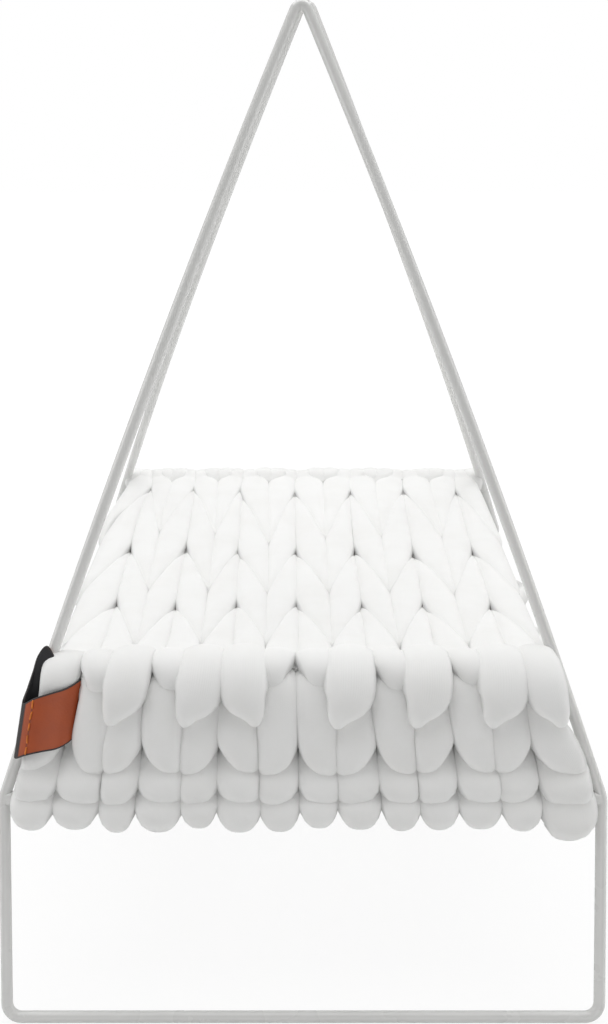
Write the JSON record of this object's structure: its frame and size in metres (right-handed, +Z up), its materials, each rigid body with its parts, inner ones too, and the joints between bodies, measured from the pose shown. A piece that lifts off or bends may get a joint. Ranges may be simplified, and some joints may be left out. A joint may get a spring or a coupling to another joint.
{
  "type": "cat bed",
  "caption": "Free-standing cat hammock: a chunky knitted bed slung in an A-shaped frame of bent steel rod, with a leather label on one corner.",
  "frame": {"origin": "on the floor, under the middle of the bed", "axes": "+Z up, -Y towards the front, which is the side with the label, +X to the right seen from the front"},
  "size_m": [0.5904, 0.8074, 0.9109],
  "materials": {
    "frame": "white powder coat, satin",
    "knit": "stuffed tube of white cotton jersey, hand knitted",
    "label_leather": "smooth brown leather with dark painted edges",
    "label_lining": "black lining, matt",
    "label_thread": "waxed orange thread"
  },
  "bodies": {
    "root": {"back_bed_bar": "frame", "back_hem_bar": "frame", "back_loop": "frame", "front_bed_bar": "frame", "front_hem_bar": "frame", "front_loop": "frame", "knit_back_drop": "knit", "knit_bed": "knit", "knit_front_drop": "knit", "label_leather": "label_leather", "label_lining": "label_lining", "label_stitch_1": "label_thread", "label_stitch_2": "label_thread", "label_stitch_3": "label_thread", "label_stitch_4": "label_thread", "label_stitch_5": "label_thread", "left_side_rail": "frame", "right_side_rail": "frame", "weld_apex": "frame", "weld_back_bed_bar_left": "frame", "weld_back_bed_bar_right": "frame", "weld_back_hem_bar_left": "frame", "weld_back_hem_bar_right": "frame", "weld_back_rail_left": "frame", "weld_back_rail_right": "frame", "weld_front_bed_bar_left": "frame", "weld_front_bed_bar_right": "frame", "weld_front_hem_bar_left": "frame", "weld_front_hem_bar_right": "frame", "weld_front_rail_left": "frame", "weld_front_rail_right": "frame"}
  },
  "joints": []
}
